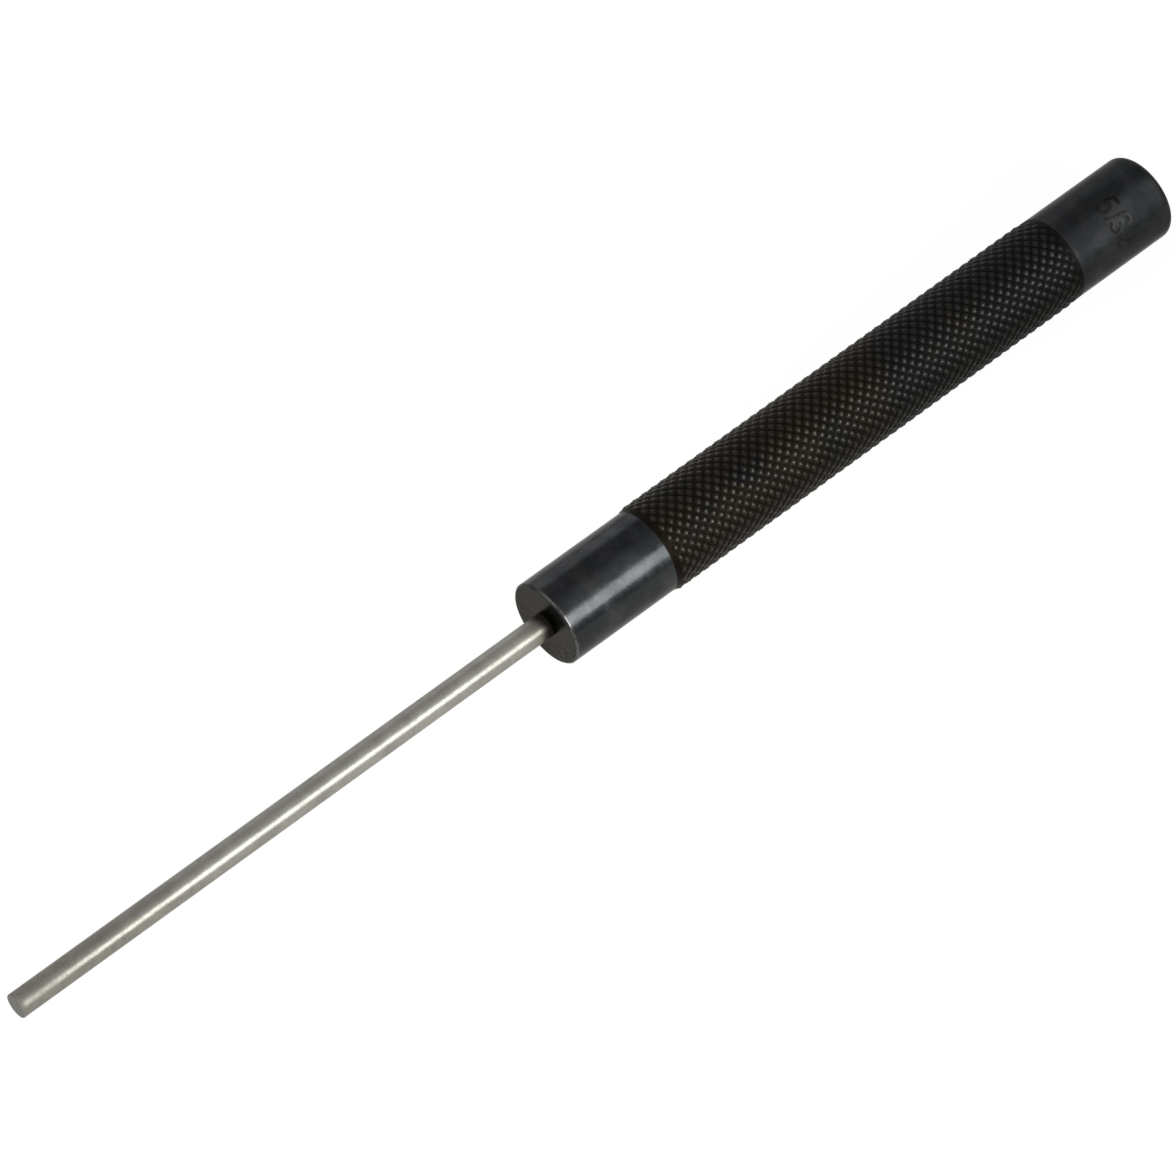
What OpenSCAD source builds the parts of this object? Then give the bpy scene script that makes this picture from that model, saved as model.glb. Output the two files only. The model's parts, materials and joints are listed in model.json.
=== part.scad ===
// Pin punch: a knurled steel handle with a long ground drive pin pressed into its front end.
// The punch lies on its grip along X: the pin's tip points to -X and the struck head to +X.
// The origin is on the surface that it lies on, under the middle of its length.

/* [Drive pin] */
// Diameter of the pin, nominally 5/32 in
pin_d = 3.97; // [2:0.01:6]
// Length of pin that stands out of the handle
pin_reach = 98.8; // [40:0.1:150]
// Length of the seat, the end that is held in the handle
pin_seat = 25; // [15:0.5:60]
// Height of the shoulder where the seat is ground thinner than the pin
shoulder = 0.18; // [0.1:0.02:0.4]
// Chamfer round the working tip
tip_chamfer = 0.1; // [0.05:0.05:0.6]
// Chamfer that leads the inner end into the bore
lead_chamfer = 0.5; // [0.1:0.05:0.8]

/* [Bore] */
// Room left between the pin's inner end and the drill point
bore_relief = 0.6; // [0.2:0.1:3]
// Point angle of the drill that made the bore
drill_angle = 118; // [90:1:140]

/* [Front collar] */
// Diameter of the smooth collar that the pin stands out of
front_d = 13.9; // [10:0.1:20]
// Length of the front collar
front_l = 19.8; // [8:0.1:40]
// Chamfer round the front face
face_chamfer = 0.3; // [0.1:0.05:1]

/* [Knurled grip] */
// Diameter over the crests of the knurl
grip_d = 14.7; // [11:0.1:22]
// Length of the knurled grip
grip_l = 83.6; // [30:0.1:110]
// Depth of the knurl, from crest to groove
knurl_depth = 0.3; // [0.2:0.05:0.6]
// Grooves that wind each way round the grip
knurl_starts = 24; // [16:1:30]
// Distance along the grip from one groove to the next
knurl_pitch = 1.8; // [1.5:0.1:4]
// Width of the ledge that each collar keeps round the end of the knurl
collar_ledge = 0.05; // [0.02:0.01:0.1]
// Length over which the crests rise from the front collar
front_run = 1.2; // [0.5:0.1:4]
// Length over which the crests fall to the rear collar
rear_run = 2.4; // [0.5:0.1:6]

/* [Head] */
// Diameter of the smooth collar at the struck end
rear_d = 14.3; // [10:0.1:20]
// Length of the rear collar, with the head
rear_l = 20.2; // [8:0.1:40]
// Radius of the rounded corner of the head
head_round = 1.4; // [0.3:0.1:3]
// Radius of the shallow crown on the struck face
crown_radius = 25; // [12:1:80]

/* [Hidden] */
$fn = 96;
// Steps in the arc of the head's corner, and in that of its crown
corner_steps = 8;
crown_steps = 6;
// Overrun that carries each cut clear of the face it starts from
cut = 1;

pin_r = pin_d / 2;
seat_r = pin_r - shoulder;
seat_chamfer = min(lead_chamfer, seat_r / 2);
front_r = front_d / 2;
grip_r = grip_d / 2;
rear_r = rear_d / 2;
root_r = grip_r - knurl_depth;
// The bar's core under the knurl lies one more depth in, so the knurl is rooted in solid steel
core_r = root_r - knurl_depth;
handle_l = front_l + grip_l + rear_l;
total_l = pin_reach + handle_l;
// Places along the punch: the front face of the handle, both ends of the grip, and the head
face_x = pin_reach - total_l / 2;
grip_x = face_x + front_l;
rear_x = grip_x + grip_l;
head_x = rear_x + rear_l;
// The punch lies on the widest of its three diameters
axis_z = max(grip_r, front_r, rear_r);

// Depth of the bore's straight wall, and of the drill point beyond it
bore_depth = pin_seat + bore_relief;
drill_point = seat_r / tan(drill_angle / 2);

// The head's outline: its rounded corner, then the crown, a shallow arc about a centre on the
// axis. The two arcs share a tangent where they meet, crown_half away from the axis.
corner_r = rear_r - head_round;
crown_half = asin(corner_r / (crown_radius - head_round));
crown_x = head_x - crown_radius;
corner_x = crown_x + (crown_radius - head_round) * cos(crown_half);
head_curve = [
  for (i = [0 : corner_steps])
    let (a = (90 - crown_half) * i / corner_steps)
      [corner_r + head_round * cos(a), corner_x + head_round * sin(a)],
  for (i = [1 : crown_steps])
    let (a = crown_half * (1 - i / crown_steps))
      [crown_radius * sin(a), crown_x + crown_radius * cos(a)]
];

// A solid of revolution about the punch's axis, from an outline of [radius, place along X]
module turned(outline) {
  translate([0, 0, axis_z])
    rotate([0, 90, 0])
      rotate_extrude()
        polygon(outline);
}

// Radius of the knurl's crests at a distance from the grip's front end: from each collar they
// run up from inside its ledge, and they go on down where the knurl is rooted in the collar
function run_up(end_r, share) =
  let (start = end_r - collar_ledge, top = start + (grip_r - start) * min(share, 1))
    share < 0 ? min(top, start) : top;
function crest_r(along) = min(
  run_up(front_r, along / front_run),
  run_up(rear_r, (grip_l - along) / rear_run)
);

// The diamond knurl: rings half a pitch apart, on each of which grooves cross and crests stand
// by turns, half a step round from the ring before. Four faces slope down from each crest.
// The first and last rings lie half a step inside the collars, so that knurl and bar are one.
knurl_rings = 2 * round(grip_l / knurl_pitch) + 1;
ring_step = grip_l / (knurl_rings - 1);
ring_points = 2 * knurl_starts;
function knurl_point(j, i) =
  let (
    along = (j - 1 / 2) * ring_step,
    top = crest_r(along),
    r = (i + j) % 2 == 0 ? top : min(root_r, top),
    a = 360 * i / ring_points
  ) [grip_x + along, r * sin(a), axis_z + r * cos(a)];
function at(j, i) = j * ring_points + (i + ring_points) % ring_points;
knurl_points = [
  for (j = [0 : knurl_rings], i = [0 : ring_points - 1]) knurl_point(j, i)
];
knurl_faces = [
  for (j = [0 : knurl_rings], i = [0 : ring_points - 1])
    if ((i + j) % 2 == 0)
      for (side = [-1, 1], next = [-1, 1])
        if (j + next >= 0 && j + next <= knurl_rings)
          side * next < 0
            ? [at(j, i), at(j + next, i), at(j, i + side)]
            : [at(j, i), at(j, i + side), at(j + next, i)],
  [for (i = [ring_points - 1 : -1 : 0]) at(0, i)],
  [for (i = [0 : ring_points - 1]) at(knurl_rings, i)]
];

module knurl() {
  polyhedron(points = knurl_points, faces = knurl_faces, convexity = 4);
}

// The handle is one turned bar: front collar, core of the grip, rear collar and crowned head
module bar() {
  turned(concat(
    [
      [0, face_x],
      [front_r - face_chamfer, face_x],
      [front_r, face_x + face_chamfer],
      [front_r, grip_x],
      [core_r, grip_x],
      [core_r, rear_x],
      [rear_r, rear_x]
    ],
    head_curve
  ));
}

// The blind bore that holds the pin's seat, drilled from the front face
module bore() {
  turned([
    [0, face_x - cut],
    [seat_r, face_x - cut],
    [seat_r, face_x + bore_depth],
    [0, face_x + bore_depth + drill_point]
  ]);
}

module handle() {
  color([0.16, 0.16, 0.17])
    difference() {
      union() {
        bar();
        knurl();
      }
      bore();
    }
}

// The pin is a ground rod. Its seat is pressed into a bore of the seat's own diameter, up to the
// shoulder, which rests on the handle's front face and takes the blow.
module drive_pin() {
  color([0.62, 0.60, 0.56])
    turned([
      [0, face_x - pin_reach],
      [pin_r - tip_chamfer, face_x - pin_reach],
      [pin_r, face_x - pin_reach + tip_chamfer],
      [pin_r, face_x],
      [seat_r, face_x],
      [seat_r, face_x + pin_seat - seat_chamfer],
      [seat_r - seat_chamfer, face_x + pin_seat],
      [0, face_x + pin_seat]
    ]);
}

handle();
drive_pin();
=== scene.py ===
import json
import math

import bmesh
import bpy
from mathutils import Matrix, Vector, noise


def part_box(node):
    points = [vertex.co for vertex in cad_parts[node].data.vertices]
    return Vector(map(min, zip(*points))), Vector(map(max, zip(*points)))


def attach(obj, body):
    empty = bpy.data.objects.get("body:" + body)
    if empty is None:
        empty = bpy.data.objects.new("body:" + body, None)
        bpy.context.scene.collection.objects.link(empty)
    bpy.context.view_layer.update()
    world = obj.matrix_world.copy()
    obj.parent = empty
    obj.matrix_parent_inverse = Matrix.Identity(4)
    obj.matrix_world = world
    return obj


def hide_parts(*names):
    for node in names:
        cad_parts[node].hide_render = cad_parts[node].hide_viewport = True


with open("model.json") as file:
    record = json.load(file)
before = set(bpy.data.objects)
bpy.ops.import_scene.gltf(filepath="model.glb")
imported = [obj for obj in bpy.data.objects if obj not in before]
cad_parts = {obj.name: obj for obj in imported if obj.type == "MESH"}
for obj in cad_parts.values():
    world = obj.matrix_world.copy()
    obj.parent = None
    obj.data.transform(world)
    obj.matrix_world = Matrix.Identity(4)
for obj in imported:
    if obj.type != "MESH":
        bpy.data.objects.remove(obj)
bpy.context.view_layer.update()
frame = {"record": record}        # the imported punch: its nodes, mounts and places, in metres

mm = 0.001

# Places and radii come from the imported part, along the punch from the pin's tip to the head
mounts = {mount["name"]: mount for mount in frame["record"]["mounts"]}
handleLow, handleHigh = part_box("handle")
pinLow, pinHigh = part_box("drive_pin")


def radiusOf(name):
    return mounts[name]["dims"]["r_mm"] * mm


def endOf(name, side):
    # where a collar's straight wall ends, on the side of -X or +X
    return mounts[name]["pos_m"][0] + side * mounts[name]["dims"]["length_mm"] * mm / 2


axisZ = (handleLow.z + handleHigh.z) / 2
shoulder = 0.18 * mm         # by this much the pin's seat in the handle is thinner than the pin
punch = {
    "tip": pinLow.x,
    "face": handleLow.x,
    "gripStart": endOf("front_collar", 1),
    "gripEnd": endOf("rear_collar", -1),
    "head": handleHigh.x,
    "pinR": radiusOf("drive_pin_shank"),
    "seatR": radiusOf("drive_pin_shank") - shoulder,
    "frontR": radiusOf("front_collar"),
    "gripR": (handleHigh.z - handleLow.z) / 2,
    "rearR": radiusOf("rear_collar"),
}
punch["gripLength"] = punch["gripEnd"] - punch["gripStart"]
print("frame read: the punch is", round((punch["head"] - punch["tip"]) / mm, 1), "mm long")


def onPunch(x, radius, turn):
    # a point at a distance along the punch, at a radius and an angle from the top towards +Y
    return Vector((x, radius * math.sin(turn), axisZ + radius * math.cos(turn)))


def smoothStep(low, high, value):
    share = min(max((value - low) / (high - low), 0), 1)
    return share * share * (3 - 2 * share)


def past(start, offsets):
    # places counted from a start
    return [start + offset for offset in offsets]


def arc(centre, radius, start, end, steps):
    # points of an arc, the angles in degrees from the first coordinate towards the second
    angles = [math.radians(start + (end - start) * k / steps) for k in range(steps + 1)]
    return [(centre[0] + radius[0] * math.cos(a), centre[1] + radius[1] * math.sin(a)) for a in angles]


def softened(outline, radius, steps=4, support=3):
    # rounds each inner corner of an outline of (x, radius) points, and adds a point on the straight
    # beyond each rounding, so that the long walls keep their own shading
    done = [Vector(outline[0])]
    for before, corner, after in zip(outline, outline[1:], outline[2:]):
        before, corner, after = Vector(before), Vector(corner), Vector(after)
        back, forth = (before - corner), (after - corner)
        turn = math.pi - back.angle(forth)
        room = min(back.length, forth.length) / (2 * support)
        reach = min(radius * math.tan(turn / 2), room)
        start, end = corner + back.normalized() * reach, corner + forth.normalized() * reach
        done.append(corner + back.normalized() * reach * support)
        for k in range(steps + 1):
            share = k / steps
            done.append(start.lerp(corner, share).lerp(corner.lerp(end, share), share))
        done.append(corner + forth.normalized() * reach * support)
    done.append(Vector(outline[-1]))
    return done


def turnOutline(bm, outline, steps):
    # turns an outline of (x, radius) points about the punch's axis, as a lathe does
    points = [bm.verts.new(onPunch(x, radius, 0)) for x, radius in outline]
    wire = [bm.edges.new(pair) for pair in zip(points, points[1:])]
    bmesh.ops.spin(bm, geom=points + wire, cent=(0, 0, axisZ), axis=(1, 0, 0),
                   angle=-2 * math.pi, steps=steps, use_merge=True)


meshing = {
    "weld": mm / 20000,          # points nearer than this become one
    "sharpAngle": 34,            # degrees between faces beyond which their edge is shaded sharp
}


def finishPiece(bm, name, materials, node):
    bmesh.ops.remove_doubles(bm, verts=bm.verts, dist=meshing["weld"])
    bmesh.ops.recalc_face_normals(bm, faces=bm.faces)
    mesh = bpy.data.meshes.new(name)
    bm.to_mesh(mesh)
    bm.free()
    mesh.shade_smooth()
    mesh.set_sharp_from_angle(angle=math.radians(meshing["sharpAngle"]))
    for material in materials:
        mesh.materials.append(material)
    piece = bpy.data.objects.new(name, mesh)
    bpy.context.scene.collection.objects.link(piece)
    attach(piece, "root")
    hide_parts(node)
    print(name, "made:", len(mesh.polygons), "faces")


# Materials: a Wire carries a value through a node tree, and arithmetic on it adds Math nodes
class Wire:
    def __init__(self, paint, socket):
        self.paint = paint
        self.socket = socket

    def math(self, operation, first, second):
        return self.paint.add("ShaderNodeMath", {"operation": operation}, {0: first, 1: second})

    def __add__(self, other):
        return self.math("ADD", self, other)

    def __radd__(self, other):
        return self.math("ADD", other, self)

    def __sub__(self, other):
        return self.math("SUBTRACT", self, other)

    def __rsub__(self, other):
        return self.math("SUBTRACT", other, self)

    def __mul__(self, other):
        return self.math("MULTIPLY", self, other)

    def __rmul__(self, other):
        return self.math("MULTIPLY", other, self)

    def __pow__(self, other):
        return self.math("POWER", self, other)


class Paint:
    def __init__(self, tree):
        self.tree = tree
        self.tree.nodes.clear()

    def node(self, kind, settings, inputs):
        node = self.tree.nodes.new(kind)
        for name, value in settings.items():
            setattr(node, name, value)
        for name, value in inputs.items():
            if isinstance(value, Wire):
                self.tree.links.new(value.socket, node.inputs[name])
            else:
                node.inputs[name].default_value = value
        return node

    def add(self, kind, settings, inputs, output=0):
        return Wire(self, self.node(kind, settings, inputs).outputs[output])

    def place(self):
        return self.add("ShaderNodeTexCoord", {}, {}, "Object")

    def split(self, vector):
        parts = self.add("ShaderNodeSeparateXYZ", {}, {0: vector})
        return [Wire(self, socket) for socket in parts.socket.node.outputs]

    def noise(self, vector, scale, detail, roughness, stretch=None):
        # a stretch below 1 draws the pattern out along that axis
        if stretch:
            vector = self.add("ShaderNodeVectorMath", {"operation": "MULTIPLY"}, {0: vector, 1: stretch})
        return self.add("ShaderNodeTexNoise", {}, {"Vector": vector, "Scale": scale, "Detail": detail,
                                                  "Roughness": roughness})

    def band(self, value, low, high, bottom=0, top=1):
        # goes smoothly from bottom to top while value goes from low to high
        return self.add("ShaderNodeMapRange", {"interpolation_type": "SMOOTHSTEP"},
                        {0: value, 1: low, 2: high, 3: bottom, 4: top})

    def blend(self, share, first, second):
        # the Mix node's sockets 6 and 7 take its colours, and output 2 gives their blend
        return self.add("ShaderNodeMix", {"data_type": "RGBA"},
                        {0: share, 6: self.colour(first), 7: self.colour(second)}, 2)

    def colour(self, value):
        return value if isinstance(value, Wire) else (*value, 1)

    def around(self):
        # distance from the punch's axis, and how far along the punch, both in metres
        x, y, z = self.split(self.place())
        height = z - axisZ
        return (y * y + height * height) ** 0.5, x

    def metal(self, colour, roughness, bumps, edge=1.0, metallic=1.0):
        # bumps are heights, each with its strength and depth; edge is the share of light that the
        # metal returns at a grazing view
        normal = None
        for height, (strength, depth) in bumps:
            inputs = {"Height": height, "Strength": strength, "Distance": depth}
            if normal:
                inputs["Normal"] = normal
            normal = self.add("ShaderNodeBump", {}, inputs)
        shader = self.add("ShaderNodeBsdfPrincipled", {}, {
            "Base Color": self.colour(colour), "Roughness": roughness, "Metallic": metallic,
            "Specular Tint": (edge, edge, edge, 1), "Normal": normal,
        })
        self.node("ShaderNodeOutputMaterial", {}, {"Surface": shader})


def newPaint(name):
    material = bpy.data.materials.new(name)
    material.use_nodes = True
    return material, Paint(material.node_tree)


# In the finishes below a pattern is a noise's scale, detail and roughness, and its stretch where
# it has one. A spread is where a mask starts and ends, then its levels there if not 0 and 1. A
# bump is a strength and a depth. Under uneven stands how much a pattern or mask moves the
# roughness, and edgeOn is the share of light that the metal returns at a grazing view.

# Blackened steel on the smooth collars: a dark blue-black skin, with fine lathe rings under it
collarFinish = {
    "dark": (0.0360, 0.0383, 0.0420),
    "light": (0.0570, 0.0595, 0.0630),
    "clouds": (260, 4, 0.6),
    "cloudSpread": (0.35, 0.7),
    "brown": (0.058, 0.050, 0.040),
    "oilPatches": (130, 3, 0.5),
    "oilSpread": (0.56, 0.72, 0, 0.5),
    # worn bare steel of the front rim, also a painted highlight on the key-lit side
    "rimWearAndSheen": (0.12, 0.12, 0.117),
    "rimEnd": (0.62 * mm, 0.44 * mm),       # from the front face: where the worn rim starts, is full
    "rimDepth": (-0.25 * mm, -0.10 * mm),   # and the same from the collar's radius
    "rimSpread": (0.62, 0.85, 0.35, 1),
    "rimClouds": 0.6,                       # share of the clouds in the speckle that wears the rim
    "keyLitSide": (3 * mm, -3 * mm),          # across the punch, from the shaded to the key-lit side
    # dark fill: real dirt in the stamped mark, and painted shade on the far side's chamfer
    "dirtAndShade": (0.0130, 0.0125, 0.0120),
    "edgeEnd": (0.34 * mm, 0.26 * mm),      # from the front face: the chamfer's painted shade
    "edgeShade": 0.15,
    "scratched": (0.13, 0.13, 0.128),
    "scratches": (3000, 2, 0.7, (0.06, 1, 1)),
    "scratchSpread": (0.70, 0.78),
    "scratchPatches": (0.5, 0.62),
    "scratchShare": 0.35,
    "markDepths": (-0.7, -0.05),            # shares of the mark's depth, from the collar's radius
    "markDirt": (0.85, 0),                  # and the dirt's share at each
    "markStart": (2 * mm, 3 * mm),          # from the grip's end
    "markEnd": (-5 * mm, -6 * mm),          # from the head
    "markPatches": (900, 2, 0.5),
    "markSpread": (0.38, 0.60, 0.60, 1),
    "roughness": 0.218,
    "rearSmoother": 0.05,                   # how much smoother the rear collar is
    "speckle": (2600, 3, 0.65),
    "bands": (620, 3, 0.6, (1, 0.22, 0.22)),
    "stains": (850, 3, 0.5),
    "uneven": {"clouds": 0.28, "speckle": 0.10, "bands": 0.22, "stains": 0.22, "mark": 0.3},
    "rings": (5200, 1, 0.5, (1, 0.02, 0.02)),
    "ringBump": (0.5, 0.006 * mm),
    "speckleBump": (0.30, 0.006 * mm),
    "scratchBump": (0.15, 0.004 * mm),
    "edgeOn": 0.75,
}


def collarRimWearAndLight(paint, look, cloud, speckle, tone):
    # the skin is worn off the front rim on the key-lit side, where the paler rim is also a painted
    # highlight, and painted shade darkens the chamfer on the other side
    radius, x = paint.around()
    keyLit = paint.band(paint.split(paint.place())[1], *look["keyLitSide"])
    rimWearAndSheen = paint.band(x, *past(punch["face"], look["rimEnd"]))
    rimWearAndSheen = rimWearAndSheen * paint.band(radius, *past(punch["frontR"], look["rimDepth"]))
    # painted highlight and wear: the rim is paler bare steel only on the key-lit side
    worn = rimWearAndSheen * keyLit * paint.band(speckle + cloud * look["rimClouds"], *look["rimSpread"])
    tone = paint.blend(worn, tone, look["rimWearAndSheen"])
    # painted shade on the chamfer of the side away from the key light
    edge = paint.band(x, *past(punch["face"], look["edgeEnd"]))
    return paint.blend(edge * (1 - keyLit) * look["edgeShade"], tone, look["dirtAndShade"])


def markSunk(paint, look):
    # the dirt's share by how deep a place lies in the stamped mark, and none away from the mark
    radius, x = paint.around()
    depths = [share * mark["depth"] for share in look["markDepths"]]
    sunk = paint.band(radius, *past(punch["rearR"], depths), *look["markDirt"])
    sunk = sunk * paint.band(x, *past(punch["gripEnd"], look["markStart"]))
    return sunk * paint.band(x, *past(punch["head"], look["markEnd"]))


def collarSteel():
    look = collarFinish
    material, paint = newPaint("blackened collar")
    place = paint.place()
    along = paint.around()[1]
    cloud = paint.noise(place, *look["clouds"])
    speckle = paint.noise(place, *look["speckle"])
    scratches = paint.noise(place, *look["scratches"])
    tone = paint.blend(paint.band(cloud, *look["cloudSpread"]), look["dark"], look["light"])
    oily = paint.band(paint.noise(place, *look["oilPatches"]), *look["oilSpread"])
    tone = paint.blend(oily, tone, look["brown"])
    tone = collarRimWearAndLight(paint, look, cloud, speckle, tone)
    scratched = paint.band(scratches, *look["scratchSpread"]) * paint.band(cloud, *look["scratchPatches"])
    tone = paint.blend(scratched * look["scratchShare"], tone, look["scratched"])
    sunk = markSunk(paint, look)
    patchy = paint.band(paint.noise(place, *look["markPatches"]), *look["markSpread"])
    tone = paint.blend(sunk * patchy, tone, look["dirtAndShade"])
    uneven = look["uneven"]
    roughness = look["roughness"] + uneven["clouds"] * (cloud - 0.5) + uneven["speckle"] * (speckle - 0.5)
    roughness = roughness + uneven["bands"] * (paint.noise(place, *look["bands"]) - 0.5)
    roughness = roughness + uneven["mark"] * sunk
    roughness = roughness + uneven["stains"] * (paint.noise(place, *look["stains"]) - 0.5)
    roughness = roughness - paint.band(along, punch["gripStart"], punch["gripEnd"], 0, look["rearSmoother"])
    rings = paint.noise(place, *look["rings"])
    bumps = [(rings, look["ringBump"]), (speckle, look["speckleBump"]), (scratches, look["scratchBump"])]
    paint.metal(tone, roughness, bumps, look["edgeOn"])
    return material


# The front face: faced on the lathe, so its rings run round the pin, with a brown stain and painted
# shade at the bore, darker towards the bottom, and pitted and dirty low down near the rim
faceFinish = {
    "steel": (0.0270, 0.0257, 0.0218),
    "pale": (0.0375, 0.0355, 0.0300),
    "clouds": (420, 4, 0.6),
    "cloudSpread": (0.35, 0.7),
    "stain": (0.034, 0.028, 0.018),
    "boreStainAndShade": (1.0 * mm, 0),             # from the pin's radius
    "boreShare": (0, 0.9),
    "boreRagged": 1.4 * mm,
    "lowDarkening": (0, -5 * mm),               # heights from the axis
    "lowShare": (0, 0.25),
    "pits": (1500, 3, 0.5),
    "pitSpread": (0.42, 0.60),
    "pitHeight": (1 * mm, -3 * mm),         # heights from the axis
    "pitRim": (-3.2 * mm, -0.8 * mm),       # from the collar's radius
    "pitShare": 0.85,
    "roughness": 0.24,
    "speckle": (3000, 3, 0.6),
    "uneven": {"clouds": 0.12, "speckle": 0.10},
    "facingRings": {"Scale": 9000, "Detail": 1},
    "ringBump": (0.30, 0.005 * mm),
    "speckleBump": (0.25, 0.006 * mm),
    "pitBump": (0.9, 0.12 * mm),
    "edgeOn": 0.70,
}


def facedSteel():
    look = faceFinish
    material, paint = newPaint("faced steel")
    place = paint.place()
    radius = paint.around()[0]
    height = paint.split(place)[2]
    cloud = paint.noise(place, *look["clouds"])
    speckle = paint.noise(place, *look["speckle"])
    rings = paint.add("ShaderNodeTexNoise", {"noise_dimensions": "1D"}, {"W": radius, **look["facingRings"]})
    tone = paint.blend(paint.band(cloud, *look["cloudSpread"]), look["steel"], look["pale"])
    # a brown stain round the bore, deepened with painted shade where the pin meets the face
    ragged = radius + (cloud - 0.5) * look["boreRagged"]
    stainedAndShaded = paint.band(ragged, *past(punch["pinR"], look["boreStainAndShade"]), *look["boreShare"])
    tone = paint.blend(stainedAndShaded, tone, look["stain"])
    # darker towards the bottom of the face
    low = paint.band(height, *past(axisZ, look["lowDarkening"]), *look["lowShare"])
    tone = paint.blend(low, tone, look["stain"])
    pits = paint.band(paint.noise(place, *look["pits"]), *look["pitSpread"])
    pits = pits * paint.band(height, *past(axisZ, look["pitHeight"]))
    pits = pits * paint.band(radius, *past(punch["frontR"], look["pitRim"]))
    tone = paint.blend(pits * look["pitShare"], tone, look["stain"])
    uneven = look["uneven"]
    roughness = look["roughness"] + uneven["clouds"] * (cloud - 0.5) + uneven["speckle"] * (speckle - 0.5)
    bumps = [(rings, look["ringBump"]), (speckle, look["speckleBump"]), (pits, look["pitBump"])]
    paint.metal(tone, roughness, bumps, look["edgeOn"])
    return material


# The knurl: dirt in the grooves, black with browned patches above, rubbed greyer on its crests;
# painted shade on its lower side
knurlFinish = {
    "black": (0.0246, 0.0246, 0.0246),
    "brown": (0.0352, 0.0286, 0.0209),
    "clouds": (95, 3, 0.55),
    "brownSpread": (0.40, 0.64),
    "handledFrom": 25 * mm,                 # into the grip, from where the brown thins out
    "handled": (0.14, -0.24),               # and what is added to the clouds there and at its end
    # dark fill: real dirt in the grooves, also painted shade on the grip's lower side
    "dirtAndShade": (0.0025, 0.0018, 0.0011),
    "grooveShares": (-1, -0.35),            # shares of the depth, from the crests' radius
    "grooveDirt": 0.70,
    "crest": (0.105, 0.1038, 0.1005),
    "crestShares": (-0.38, -0.02),
    "crestWearAndSheen": (1, 0.45),                    # at the grip's front and rear end
    "crestPatches": (800, 2, 0.5),
    "patchSpread": (0.38, 0.62, 0.2, 1),
    "speckle": (2300, 3, 0.65),
    "speckleSpread": (0.3, 0.7, 0.3, 0.9),
    "lowShade": (6 * mm, 2 * mm, 0, 0.36),   # heights over the axis, and the painted shade's share there
    "roughness": 0.37,
    "uneven": {"groove": 0.20, "speckle": 0.16},
    "speckleBump": (0.35, 0.012 * mm),
}


def knurlSteel():
    look = knurlFinish
    material, paint = newPaint("blackened knurl")
    place = paint.place()
    radius, x = paint.around()
    cloud = paint.noise(place, *look["clouds"])
    speckle = paint.noise(place, *look["speckle"])
    grooveDepths = [share * knurl["depth"] for share in look["grooveShares"]]
    crestDepths = [share * knurl["depth"] for share in look["crestShares"]]
    # browned patches thin out towards the head, and the crests there are less rubbed, a fade that
    # also paints their highlights dimmer towards the head
    handled = paint.band(x, punch["gripStart"] + look["handledFrom"], punch["gripEnd"], *look["handled"])
    browned = paint.band(cloud + handled, *look["brownSpread"])
    tone = paint.blend(browned, look["black"], look["brown"])
    raised = paint.band(radius, *past(punch["gripR"], grooveDepths))
    tone = paint.blend(look["grooveDirt"] * (1 - raised), tone, look["dirtAndShade"])
    crest = paint.band(radius, *past(punch["gripR"], crestDepths))
    # worn paler crests, fading towards the head as a painted dimming of their highlights
    crest = crest * paint.band(x, punch["gripStart"], punch["gripEnd"], *look["crestWearAndSheen"])
    patchy = paint.band(paint.noise(place, *look["crestPatches"]), *look["patchSpread"])
    worn = crest * patchy * paint.band(speckle, *look["speckleSpread"])
    tone = paint.blend(worn, tone, look["crest"])
    # painted shade: the grip grows darker below its top
    tone = paint.blend(paint.band(paint.split(place)[2] - axisZ, *look["lowShade"]), tone, look["dirtAndShade"])
    uneven = look["uneven"]
    roughness = look["roughness"] + uneven["groove"] * (1 - raised) + uneven["speckle"] * (speckle - 0.5)
    paint.metal(tone, roughness, [(speckle, look["speckleBump"])])
    return material


# The knurled handle
knurl = {
    "starts": 24,                # grooves that wind each way
    "pitch": 1.8 * mm,           # distance along the grip from groove to groove
    "depth": 0.25 * mm,
    "fine": 4,                   # steps of the mesh from a crest to the nearest groove crossing
    "fullness": 0.68,            # 1 gives round crests and hollows alike, less gives fuller crests
    "frontRun": 1.2 * mm,        # length over which the crests rise from the front collar
    "rearRun": 2.4 * mm,
    "frontFade": 1.0 * mm,       # length over which the grooves fade out at a collar
    "rearFade": 0.8 * mm,
    "raggedFront": 0.35 * mm,    # how unevenly the grooves end at the front, and half that behind
    "raggedSteps": 4.6,          # more makes it change more often round the grip
    "endSeed": 1.7,              # another number gives other ends
    "unevenness": 0.07,          # share of the depth by which the crests differ
    "unevenStep": 0.26,          # less makes neighbouring crests more alike
    "unevenSpread": (-0.2, 0.6), # levels of the noise at which a crest loses nothing, and most
    "crestSeed": 5.2,            # another number gives other crests
    "roughening": 0.010 * mm,    # small dents all over
    "dentSize": 0.55 * mm,
}
knurl["rings"] = 2 * round(punch["gripLength"] / knurl["pitch"])
around = 2 * knurl["starts"] * knurl["fine"]     # steps of the handle's mesh round it


def crestRadius(along, crestRing, crestStep):
    # crests rise from both collars, and each has a height of its own
    front = min(along / knurl["frontRun"], 1)
    rear = min((punch["gripLength"] - along) / knurl["rearRun"], 1)
    crest = min(punch["frontR"] + (punch["gripR"] - punch["frontR"]) * front,
                punch["rearR"] + (punch["gripR"] - punch["rearR"]) * rear)
    # crests are counted round the grip, so that the last row's heights meet the first row's
    crestStep = crestStep % (2 * knurl["starts"])
    spot = Vector((crestRing * knurl["unevenStep"], crestStep * knurl["unevenStep"], knurl["crestSeed"]))
    lowered = smoothStep(*knurl["unevenSpread"], noise.noise(spot)) * min(front, rear)
    return crest - knurl["unevenness"] * knurl["depth"] * lowered


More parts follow.
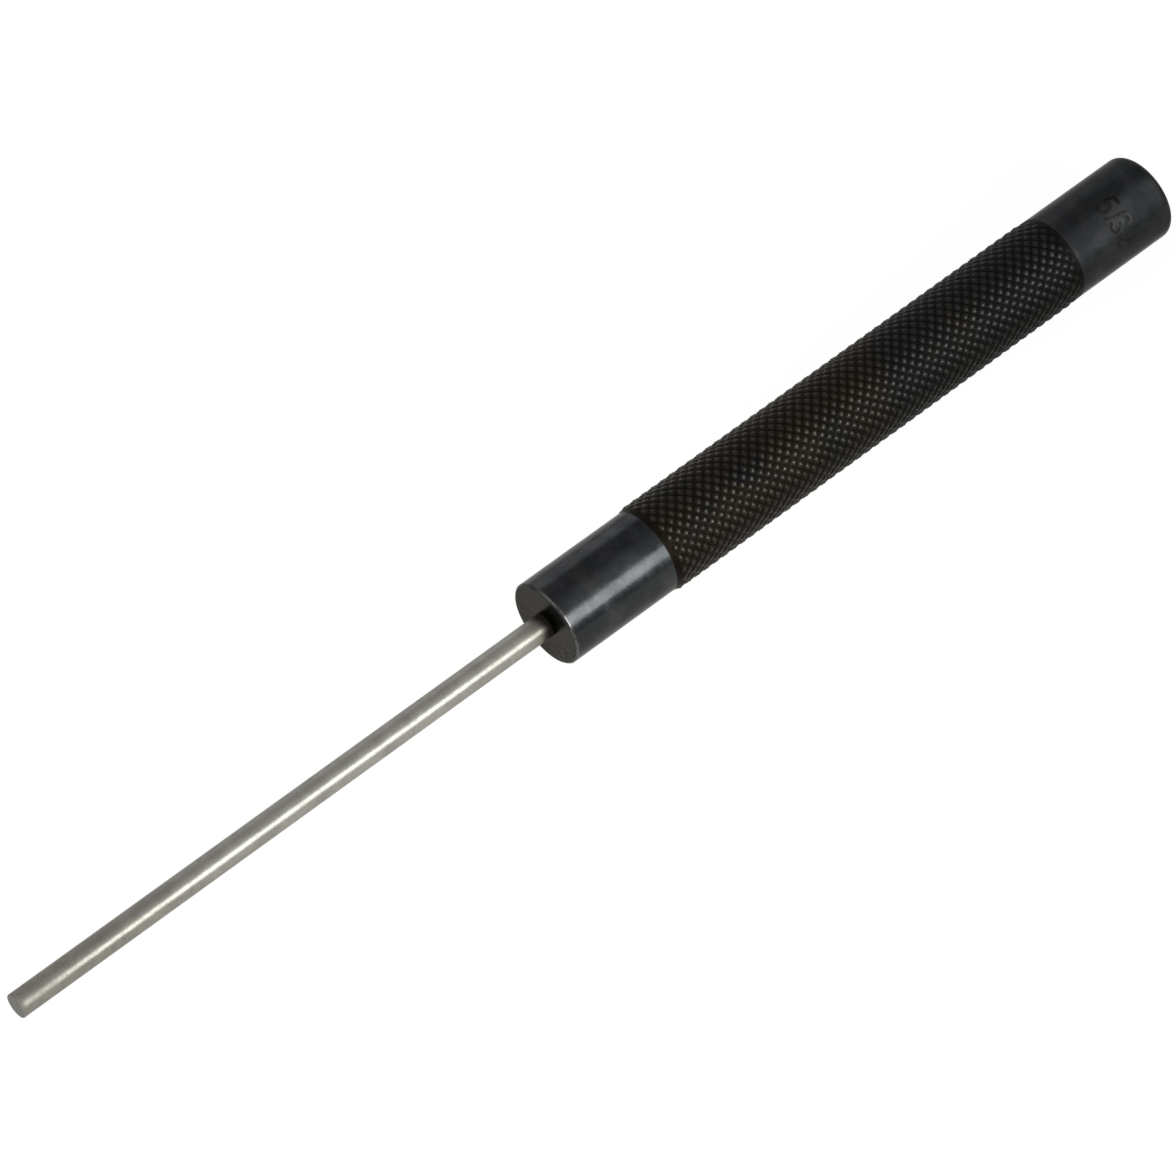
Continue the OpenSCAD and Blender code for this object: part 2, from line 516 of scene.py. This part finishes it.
def knurlRadius(along, step):
    # along is the distance into the grip; step counts crests and crossings round the grip
    ring = along / punch["gripLength"] * knurl["rings"] + 1 / 2
    left, right = round((ring + step) / 2), round((ring - step) / 2)
    offLeft = abs((ring + step) / 2 - left) * 2
    offRight = abs((ring - step) / 2 - right) * 2
    rise = (0.5 + 0.5 * math.cos(math.pi * offLeft)) * (0.5 + 0.5 * math.cos(math.pi * offRight))
    rise = rise ** knurl["fullness"]
    crest = crestRadius(along, left + right, left - right)
    groove = min(punch["gripR"] - knurl["depth"], crest)
    turn = math.pi * step / knurl["starts"]
    across, up = math.sin(turn), math.cos(turn)
    ends = noise.noise(Vector((knurl["raggedSteps"] * across, knurl["raggedSteps"] * up, knurl["endSeed"])))
    ragged = abs(ends) * knurl["raggedFront"]
    shown = smoothStep(0, knurl["frontFade"], along - ragged)
    shown *= smoothStep(0, knurl["rearFade"], punch["gripLength"] - along - ragged / 2)
    dents = noise.noise(Vector((along, punch["gripR"] * across, punch["gripR"] * up)) / knurl["dentSize"])
    rise += knurl["roughening"] / knurl["depth"] * min(dents, 0) * 2
    flat = punch["frontR"] if along < punch["gripLength"] / 2 else punch["rearR"]
    return flat + (groove + (crest - groove) * rise - flat) * shown


def addKnurl(bm):
    cells = knurl["rings"] * knurl["fine"]
    made = bmesh.ops.create_grid(bm, x_segments=cells, y_segments=around, size=1)
    grooves = []
    for vert in made["verts"]:
        along = (vert.co.x + 1) / 2 * punch["gripLength"]
        step = round((vert.co.y + 1) / 2 * around) % around / knurl["fine"]
        ring = round((vert.co.x + 1) / 2 * cells) / knurl["fine"] + 1 / 2
        if (ring + step) % 2 == 1 or (ring - step) % 2 == 1:
            grooves.append(vert)
        radius = knurlRadius(along, step)
        vert.co = onPunch(punch["gripStart"] + along, radius, math.pi * step / knurl["starts"])
    # the faces split along the grooves, so that each groove is one clean line
    bmesh.ops.connect_verts(bm, verts=grooves)


# The size mark, stamped into the rear collar: 5/32, read with the head up
mark = {
    "place": 100.6 * mm,         # middle of the digits, along the punch
    "height": 3.5 * mm,
    "width": 1.7 * mm,
    "turns": {"5": -13.2, "/": -29.3, "3": -42.2, "2": -62.0},   # degrees from the top
    "halfStroke": 0.42 * mm,
    "softShare": 1.35,           # half widths of a stroke at which the pressed edge ends
    "marginShare": 3,            # half widths of a stroke by which the finer mesh goes beyond it
    "depth": 0.036 * mm,
    "pressedShares": {"5": 0.95, "/": 0.8, "3": 1, "2": 0.6},    # of the depth
    "cuts": 2,                   # times that the collar's mesh is halved where the mark is
}


def strokesOf(sign):
    # centre lines of a sign in a box one wide and one high
    if sign == "5":
        return [[(0.92, 1), (0.14, 1), (0.08, 0.57)] + arc((0.44, 0.31), (0.50, 0.31), 130, -140, 12)]
    if sign == "3":
        return [arc((0.46, 0.76), (0.44, 0.24), 150, -90, 10), arc((0.46, 0.27), (0.50, 0.27), 90, -150, 10)]
    if sign == "2":
        return [arc((0.48, 0.71), (0.46, 0.29), 165, -35, 10) + [(0.02, 0), (0.98, 0)]]
    return [[(0.30, -0.02), (0.72, 1.02)]]


def markStrokes():
    # every stroke of the mark as pairs of points on the unrolled collar, round it and then along
    # it, each with its depth
    pieces = []
    for sign, turn in mark["turns"].items():
        middle = -math.radians(turn) * punch["rearR"]
        depth = mark["depth"] * mark["pressedShares"][sign]
        for stroke in strokesOf(sign):
            line = [Vector((middle + (u - 0.5) * mark["width"], mark["place"] + (v - 0.5) * mark["height"]))
                    for u, v in stroke]
            pieces += [(start, end, depth) for start, end in zip(line, line[1:])]
    return pieces


def distanceTo(start, end, point):
    share = (point - start).dot(end - start) / (end - start).length_squared
    return (point - start.lerp(end, min(max(share, 0), 1))).length


def stampMark(bm):
    strokes = markStrokes()
    margin = mark["marginShare"] * mark["halfStroke"]
    ends = [point for start, end, depth in strokes for point in (start, end)]
    low = Vector((min(p.x for p in ends) - margin, min(p.y for p in ends) - margin))
    high = Vector((max(p.x for p in ends) + margin, max(p.y for p in ends) + margin))

    def unrolled(co):
        return Vector((-math.atan2(co.y, co.z - axisZ) * punch["rearR"], co.x))

    def isIn(co):
        spot = unrolled(co)
        return low.x < spot.x < high.x and low.y < spot.y < high.y

    for k in range(mark["cuts"]):
        patch = [face for face in bm.faces if isIn(face.calc_center_median())]
        edges = {edge for face in patch for edge in face.edges}
        bmesh.ops.subdivide_edges(bm, edges=list(edges), cuts=1, use_grid_fill=True)
    for vert in bm.verts:
        if not isIn(vert.co):
            continue
        spot = unrolled(vert.co)
        sunk = 0
        for start, end, depth in strokes:
            share = distanceTo(start, end, spot) / mark["halfStroke"]
            sunk = max(sunk, depth * (1 - smoothStep(0, mark["softShare"], share)))
        vert.co = onPunch(vert.co.x, punch["rearR"] - sunk, math.atan2(vert.co.y, vert.co.z - axisZ))


handle = {
    "boreDepth": 25.6 * mm,
    "drillAngle": 118,           # degrees
    "faceChamfer": 0.3 * mm,
    "faceMargin": 0.01 * mm,     # what lies this near the front face is finished as it is
    "edgeRound": 0.12 * mm,
    "edgeSupport": 1.5,          # a rounding's extra points lie this many of its lengths away
    "headRound": 1.4 * mm,
    "crownRadius": 25 * mm,
    "roundSteps": 10,
    "crownSteps": 12,
    "markStep": 0.45 * mm,       # mesh of the rear collar under the mark
}


def headOutline():
    # the rounded corner and the crown share a tangent where they meet
    corner = punch["rearR"] - handle["headRound"]
    inner = handle["crownRadius"] - handle["headRound"]
    half = math.degrees(math.asin(corner / inner))
    crownX = punch["head"] - handle["crownRadius"]
    cornerX = crownX + inner * math.cos(math.radians(half))
    small, wide = handle["headRound"], handle["crownRadius"]
    rounding = arc((cornerX, corner), (small, small), 90, half, handle["roundSteps"])
    crown = arc((crownX, 0), (wide, wide), half, 0, handle["crownSteps"])
    return rounding, crown[1:]


def makeHandle():
    bm = bmesh.new()
    face, seatR = punch["face"], punch["seatR"]
    drillPoint = seatR / math.tan(math.radians(handle["drillAngle"] / 2))
    bottom = face + handle["boreDepth"]
    front = [
        (bottom + drillPoint, 0), (bottom, seatR), (face, seatR),
        (face, punch["frontR"] - handle["faceChamfer"]), (face + handle["faceChamfer"], punch["frontR"]),
        (punch["gripStart"], punch["frontR"]),
    ]
    turnOutline(bm, softened(front, handle["edgeRound"], support=handle["edgeSupport"]), around)
    rounding, crown = headOutline()
    wallLength = rounding[0][0] - punch["gripEnd"]
    steps = round(wallLength / handle["markStep"])
    wall = [(punch["gripEnd"] + wallLength * k / steps, punch["rearR"]) for k in range(steps)]
    turnOutline(bm, wall + rounding + crown, around)
    stampMark(bm)
    addKnurl(bm)
    # the collars take the first material, the grip the second, the front face and bore the third
    for part in bm.faces:
        middle = part.calc_center_median()
        outward = math.hypot(middle.y, middle.z - axisZ)
        if punch["gripStart"] < middle.x < punch["gripEnd"] and outward > punch["pinR"]:
            part.material_index = 1
        elif middle.x < face + handle["faceMargin"] or outward < punch["pinR"]:
            part.material_index = 2
    finishPiece(bm, "handle_steel", [collarSteel(), knurlSteel(), facedSteel()], "handle")


# The drive pin: bright steel, ground between centres, so its finest marks run round it
pin = {
    "tipChamfer": 0.10 * mm,
    "leadChamfer": 0.5 * mm,
    "edgeRound": 0.04 * mm,
    "around": 96,                # steps of the mesh round the pin
}
pinFinish = {
    "steel": (0.268, 0.259, 0.236),
    "pale": (0.320, 0.309, 0.282),
    "clouds": (300, 4, 0.6),
    "cloudSpread": (0.35, 0.65),
    "stain": (0.120, 0.100, 0.078),
    "mottle": (1500, 4, 0.7),
    "mottleSpread": (0.52, 0.72, 0, 0.35),
    "tipShade": (8 * mm, 42 * mm),          # from the tip, where the worked end grows paler
    "tipShares": (0.30, 0),
    "end": (0.258, 0.256, 0.250),
    "endReach": (0.30 * mm, 0.05 * mm),     # from the tip
    "endShares": (0, 0.85),
    "endRagged": 0.3 * mm,
    "oilAndShadeReach": (-6 * mm, -1 * mm),         # from the handle's face
    "oilAndShadeShares": (0, 0.5),
    # nearly black: a little brown stain, mostly painted shade where the pin meets the face
    "footStainAndShade": (0.016, 0.012, 0.007),
    "footReach": (-2.5 * mm, -0.6 * mm),
    "footShares": (0, 0.96),
    "footRagged": 2 * mm,
    "metallic": 0.60,                       # the rest is a thin dull skin
    "roughness": 0.34,
    "tipRougher": (14 * mm, 0, 0, 0.12),    # from the tip: places, then what is added there
    "endRougher": (0.9 * mm, 0.15 * mm, 0, 0.3),
    "uneven": {"mottle": 0.16, "streaks": 0.10, "footStainAndShade": 0.15},
    "grinding": (12000, 2, 0.6, (1, 0.06, 0.06)),
    "grindingBump": (1.0, 0.009 * mm),
    "streaks": (2600, 3, 0.65, (0.05, 1, 1)),
    "streakBump": (0.20, 0.004 * mm),
    "edgeOn": 0.7,
}


def groundSteel():
    look = pinFinish
    material, paint = newPaint("ground steel")
    place = paint.place()
    x = paint.around()[1]
    tip, face = punch["tip"], punch["face"]
    cloud = paint.noise(place, *look["clouds"])
    grinding = paint.noise(place, *look["grinding"])
    streaks = paint.noise(place, *look["streaks"])
    mottle = paint.noise(place, *look["mottle"])
    tone = paint.blend(paint.band(cloud, *look["cloudSpread"]), look["steel"], look["pale"])
    worked = paint.band(x, *past(tip, look["tipShade"]), *look["tipShares"])
    tone = paint.blend(paint.band(mottle, *look["mottleSpread"]) + worked, tone, look["stain"])
    ragged = x + (cloud - 0.5) * look["endRagged"]
    worn = paint.band(ragged, *past(tip, look["endReach"]), *look["endShares"])
    tone = paint.blend(worn, tone, look["end"])
    # a little oil stays where the pin enters the handle, and painted shade darkens the pin towards the face
    oily = paint.band(x, *past(face, look["oilAndShadeReach"]), *look["oilAndShadeShares"])
    tone = paint.blend(oily, tone, look["stain"])
    # painted shade and reflection: the pin's foot turns nearly black at the dark face, over a brown stain
    ragged = x + (cloud - 0.5) * look["footRagged"]
    footStainAndShade = paint.band(ragged, *past(face, look["footReach"]), *look["footShares"])
    tone = paint.blend(footStainAndShade, tone, look["footStainAndShade"])
    roughness = look["roughness"]
    for start, end, bottom, top in (look["tipRougher"], look["endRougher"]):
        roughness = roughness + paint.band(x, tip + start, tip + end, bottom, top)
    uneven = look["uneven"]
    roughness = roughness + uneven["mottle"] * (mottle - 0.5) + uneven["streaks"] * (streaks - 0.5)
    roughness = roughness + uneven["footStainAndShade"] * footStainAndShade
    bumps = [(grinding, look["grindingBump"]), (streaks, look["streakBump"])]
    paint.metal(tone, roughness, bumps, look["edgeOn"], look["metallic"])
    return material


def makePin():
    bm = bmesh.new()
    tip, face, end = punch["tip"], punch["face"], pinHigh.x
    radius, seatR = punch["pinR"], punch["seatR"]
    outline = [
        (tip, 0), (tip, radius - pin["tipChamfer"]), (tip + pin["tipChamfer"], radius),
        (face, radius), (face, seatR),
        (end - pin["leadChamfer"], seatR), (end, seatR - pin["leadChamfer"]), (end, 0),
    ]
    turnOutline(bm, softened(outline, pin["edgeRound"]), pin["around"])
    finishPiece(bm, "drive_pin_steel", [groundSteel()], "drive_pin")


makeHandle()
makePin()

# The table and the studio round it
studio = {
    "floorSize": 8.0,
    "floorWhite": (0.92, 0.90, 0.86),
    "floorShadeGrey": (0.50, 0.49, 0.47),    # painted shade on the floor under the head's end, seen in the metal only
    "floorChange": (0.0, 0.13),         # along the punch, from the white to the grey
    "floorGlow": 1.06,
    "floorShadow": 0.10,         # share of the floor's look that shows the shadow
    "floorGlossy": 0.50,         # share of the white that metal sees in the floor
    "horizon": 0.45,             # level of the low backdrop
    "overhead": 0.32,            # level of the dark ceiling
    "backdropTop": (0.48, 0.66), # sine of the heights between which the backdrop ends
    # soft light spread over the softbox, and from the far side: direction, level, and the
    # cosine at which it starts
    "glows": [((0.30, -0.60, 0.74), 0.45, 0.62), ((-0.62, 0.38, 0.69), 1.10, 0.75)],
}
white = (1, 1, 1)


# Two soft lights: each stands at a distance in a direction from the punch, and faces its axis
lamps = {
    "key": {"towards": (-0.785, 0.555), "distance": 0.6, "x": 0.130, "long": 0.25, "high": 0.30,
            "level": 10.6, "colour": (0.965, 1.0, 0.970)},
    "fill": {"towards": (0.94, 0.33), "distance": 0.6, "x": 0.235, "long": 0.22, "high": 0.34,
             "level": 0.55, "colour": (1.0, 1.0, 1.0)},
}


def makeFloor():
    bm = bmesh.new()
    bmesh.ops.create_grid(bm, x_segments=1, y_segments=1, size=studio["floorSize"] / 2)
    mesh = bpy.data.meshes.new("floor")
    bm.to_mesh(mesh)
    bm.free()
    material, paint = newPaint("pale floor")
    rays = paint.add("ShaderNodeLightPath", {}, {})
    seen = {s.name: Wire(paint, s) for s in rays.socket.node.outputs}
    along = paint.split(paint.place())[0]
    card = paint.blend(paint.band(along, *studio["floorChange"]), studio["floorWhite"], studio["floorShadeGrey"])
    diffuse = paint.add("ShaderNodeBsdfDiffuse", {}, {"Color": card})
    backdrop = paint.blend(seen["Is Camera Ray"], card, white)
    glow = paint.add("ShaderNodeEmission", {}, {"Color": backdrop, "Strength": studio["floorGlow"]})
    mirrored = seen["Is Glossy Ray"] + seen["Is Transmission Ray"]
    share = seen["Is Camera Ray"] * (1 - studio["floorShadow"]) + mirrored * studio["floorGlossy"]
    mixed = paint.add("ShaderNodeMixShader", {}, {0: share, 1: diffuse, 2: glow})
    paint.node("ShaderNodeOutputMaterial", {}, {"Surface": mixed})
    mesh.materials.append(material)
    floor = bpy.data.objects.new("floor", mesh)
    bpy.context.scene.collection.objects.link(floor)


def makeWorld():
    world = bpy.data.worlds.new("studio")
    world.use_nodes = True
    bpy.context.scene.world = world
    paint = Paint(world.node_tree)
    towards = paint.add("ShaderNodeTexCoord", {}, {}, "Generated")
    height = paint.split(towards)[2]
    seenDirectly = paint.add("ShaderNodeLightPath", {}, {}, "Is Camera Ray")
    level = paint.band(height, *studio["backdropTop"], studio["horizon"], studio["overhead"])
    for direction, glow, edge in studio["glows"]:
        lit = paint.add("ShaderNodeVectorMath", {"operation": "DOT_PRODUCT"},
                        {0: towards, 1: Vector(direction).normalized()}, "Value")
        level = level + paint.band(lit, edge, 1.0, 0, glow)
    level = level + seenDirectly * (1 - level)
    shader = paint.add("ShaderNodeBackground", {}, {"Color": (*white, 1), "Strength": level})
    paint.node("ShaderNodeOutputWorld", {}, {"Surface": shader})


def makeLamp(name, lamp):
    light = bpy.data.lights.new(name, "AREA")
    light.shape = "RECTANGLE"
    light.size, light.size_y = lamp["long"], lamp["high"]
    light.energy = lamp["level"] * math.pi * lamp["long"] * lamp["high"]
    light.color = lamp["colour"]
    made = bpy.data.objects.new(name, light)
    bpy.context.scene.collection.objects.link(made)
    across, up = Vector(lamp["towards"]).normalized() * lamp["distance"]
    made.location = (lamp["x"], across, axisZ + up)
    aim = Vector((0, -across, -up))
    made.rotation_euler = aim.to_track_quat("-Z", "Y").to_euler()


camera = {
    "sensor": 36,                # mm
    "lens": 183.7,               # mm, so that the picture spans 11 degrees
    "clip": (0.01, 100),
    "distance": 0.8783,
    "elevation": 54.1,           # degrees above the table
    "azimuth": 41.66,            # degrees from looking along +Y, towards the pin's side
    "aim": (-4.80 * mm, -0.913 * mm, 10.512 * mm),
}


def makeCamera():
    data = bpy.data.cameras.new("camera")
    data.sensor_width = camera["sensor"]
    data.lens = camera["lens"]
    data.clip_start, data.clip_end = camera["clip"]
    eye = bpy.data.objects.new("camera", data)
    bpy.context.scene.collection.objects.link(eye)
    up, side = math.radians(camera["elevation"]), math.radians(camera["azimuth"])
    back = Vector((-math.sin(side) * math.cos(up), -math.cos(side) * math.cos(up), math.sin(up)))
    eye.location = Vector(camera["aim"]) + back * camera["distance"]
    eye.rotation_euler = back.to_track_quat("Z", "Y").to_euler()
    bpy.context.scene.camera = eye


makeFloor()
makeWorld()
for name, lamp in lamps.items():
    makeLamp(name, lamp)
makeCamera()
bpy.context.scene.view_settings.view_transform = "Standard"
print("studio made")
